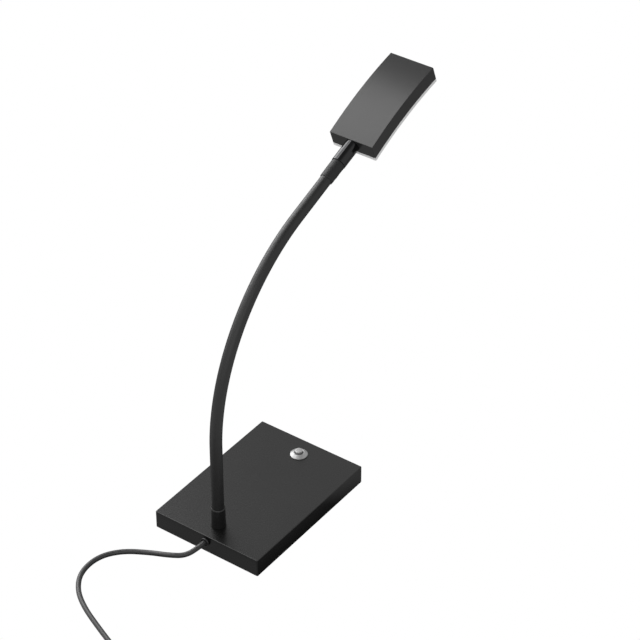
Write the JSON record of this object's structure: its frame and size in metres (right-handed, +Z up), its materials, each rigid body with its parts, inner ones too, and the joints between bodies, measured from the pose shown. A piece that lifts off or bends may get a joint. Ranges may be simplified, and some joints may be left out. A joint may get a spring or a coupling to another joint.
{
  "type": "gooseneck desk lamp",
  "caption": "Desk lamp: weighted flat base with a push button, bendable gooseneck, thin arched LED head with a frosted diffuser, mains cord with plug.",
  "frame": {"origin": "centre of the base's underside, on the table", "axes": "+Z up; +X along the base from the neck's foot to the push button, the way the head reaches; +Y to the lamp's left seen from the neck"},
  "size_m": [0.6138, 0.2197, 0.4014],
  "materials": {
    "black_powder_coat": "satin powder coat",
    "head_lacquer": "satin black lacquer",
    "ballast_iron": "rough cast, oiled",
    "zinc_steel": "zinc-plated sheet",
    "spring_steel": "oiled spring wire",
    "bright_chrome": "satin chrome",
    "black_nickel": "polished black nickel",
    "brass_contact": "bare brass",
    "neck_rubber": "matt black sleeve",
    "pad_foam": "foam rubber",
    "seal_rubber": "matt",
    "cord_pvc": "semi-matt black cord sheath",
    "black_plastic": "fine texture",
    "terminal_plastic": "natural polyamide",
    "wire_insulation": "thin wire insulation",
    "lead_insulation": "white lead sheath",
    "board_laminate": "green laminate",
    "ferrite": "dark ferrite",
    "capacitor_sleeve": "shrink sleeve",
    "board_aluminium": "white solder mask",
    "led_package": "yellow phosphor",
    "reflector_white": "white film",
    "frosted_acrylic": "frosted",
    "tie_plastic": "soft strap"
  },
  "bodies": {
    "base": {"neck_sleeve_01": "neck_rubber", "neck_core_01": "spring_steel", "anti_slip_pad": "pad_foam", "base_cover": "black_powder_coat", "base_weight": "ballast_iron", "bottom_plate": "zinc_steel", "bottom_screws": "zinc_steel", "cord_coil": "cord_pvc", "cord_gland": "black_plastic", "cord_lead": "cord_pvc", "cord_tie": "tie_plastic", "driver_board": "board_laminate", "driver_capacitors": "capacitor_sleeve", "driver_case": "black_plastic", "driver_transformer": "ferrite", "internal_leads": "wire_insulation", "lamp_lead": "lead_insulation", "lock_washer": "zinc_steel", "neck_collar": "black_powder_coat", "neck_ferrule": "zinc_steel", "neck_nut": "zinc_steel", "plug_body": "black_plastic", "plug_pins": "brass_contact", "supply_cores": "wire_insulation", "switch_barrel": "bright_chrome", "switch_contact_block": "black_plastic", "switch_nut": "bright_chrome", "switch_seal": "seal_rubber", "switch_spring": "spring_steel", "switch_terminals": "brass_contact", "terminal_block": "terminal_plastic", "terminal_screws": "brass_contact"},
    "push_button": {"switch_button": "bright_chrome"},
    "neck_link_1": {"neck_sleeve_02": "neck_rubber", "neck_core_02": "spring_steel"},
    "neck_link_2": {"neck_sleeve_03": "neck_rubber", "neck_core_03": "spring_steel"},
    "neck_link_3": {"neck_sleeve_04": "neck_rubber", "neck_core_04": "spring_steel"},
    "neck_link_4": {"neck_sleeve_05": "neck_rubber", "neck_core_05": "spring_steel"},
    "neck_link_5": {"neck_sleeve_06": "neck_rubber", "neck_core_06": "spring_steel"},
    "neck_link_6": {"neck_sleeve_07": "neck_rubber", "neck_core_07": "spring_steel"},
    "neck_link_7": {"neck_sleeve_08": "neck_rubber", "neck_core_08": "spring_steel"},
    "neck_link_8": {"neck_sleeve_09": "neck_rubber", "neck_core_09": "spring_steel"},
    "lamp_head": {"neck_sleeve_10": "neck_rubber", "neck_core_10": "spring_steel", "sleeve_boot": "neck_rubber", "head_stem": "black_nickel", "stem_nut": "zinc_steel", "head_housing": "head_lacquer", "led_board": "board_aluminium", "led_chips": "led_package", "reflector_sheet": "reflector_white", "board_screws": "zinc_steel", "diffuser_plate": "frosted_acrylic"}
  },
  "joints": [
    {"name": "neck_side_bend", "type": "hinge", "parent": "base", "child": "neck_link_1", "pos_m": [-0.069, 0, 0.0681], "axis": [1, 0, 0], "range_deg": [-15, 15], "deforming": ["lamp_lead"]},
    {"name": "neck_side_bend_2", "type": "hinge", "parent": "neck_link_1", "child": "neck_link_2", "pos_m": [-0.069, 0, 0.1086], "axis": [1, 0, 0], "range_deg": [-15, 15], "deforming": ["lamp_lead"]},
    {"name": "neck_lower_bend", "type": "hinge", "parent": "neck_link_2", "child": "neck_link_3", "pos_m": [-0.06705, 0, 0.14901], "axis": [0, 1, 0], "range_deg": [-11.5, 11.5], "deforming": ["lamp_lead"]},
    {"name": "neck_lower_bend_2", "type": "hinge", "parent": "neck_link_3", "child": "neck_link_4", "pos_m": [-0.05779, 0, 0.18838], "axis": [0, 1, 0], "range_deg": [-11.5, 11.5], "deforming": ["lamp_lead"]},
    {"name": "neck_lower_bend_3", "type": "hinge", "parent": "neck_link_4", "child": "neck_link_5", "pos_m": [-0.04123, 0, 0.22527], "axis": [0, 1, 0], "range_deg": [-11.5, 11.5], "deforming": ["lamp_lead"]},
    {"name": "neck_upper_bend", "type": "hinge", "parent": "neck_link_5", "child": "neck_link_6", "pos_m": [-0.01798, 0, 0.25836], "axis": [0, 1, 0], "range_deg": [-11.5, 11.5], "deforming": ["lamp_lead"]},
    {"name": "neck_upper_bend_2", "type": "hinge", "parent": "neck_link_6", "child": "neck_link_7", "pos_m": [0.01112, 0, 0.28643], "axis": [0, 1, 0], "range_deg": [-11.5, 11.5], "deforming": ["lamp_lead"]},
    {"name": "neck_upper_bend_3", "type": "hinge", "parent": "neck_link_7", "child": "neck_link_8", "pos_m": [0.04502, 0, 0.30848], "axis": [0, 1, 0], "range_deg": [-11.5, 11.5], "deforming": ["lamp_lead"]},
    {"name": "neck_side_bend_3", "type": "hinge", "parent": "neck_link_8", "child": "lamp_head", "pos_m": [0.0823, 0, 0.32423], "axis": [0.3551, 0, -0.9348], "range_deg": [-15, 15], "deforming": ["lamp_lead"]},
    {"name": "switch_press", "type": "slide", "parent": "base", "child": "push_button", "axis": [0, 0, -1], "range_m": [0, 0.0017], "stiffness_N_per_m": 700, "springref_m": -0.0022, "deforming": ["switch_spring"]}
  ],
  "couplings": [
    {"joint": "neck_side_bend_2", "follows": "neck_side_bend", "ratio": 1},
    {"joint": "neck_side_bend_3", "follows": "neck_side_bend", "ratio": 1},
    {"joint": "neck_lower_bend_2", "follows": "neck_lower_bend", "ratio": 1},
    {"joint": "neck_lower_bend_3", "follows": "neck_lower_bend", "ratio": 1},
    {"joint": "neck_upper_bend_2", "follows": "neck_upper_bend", "ratio": 1},
    {"joint": "neck_upper_bend_3", "follows": "neck_upper_bend", "ratio": 1}
  ]
}
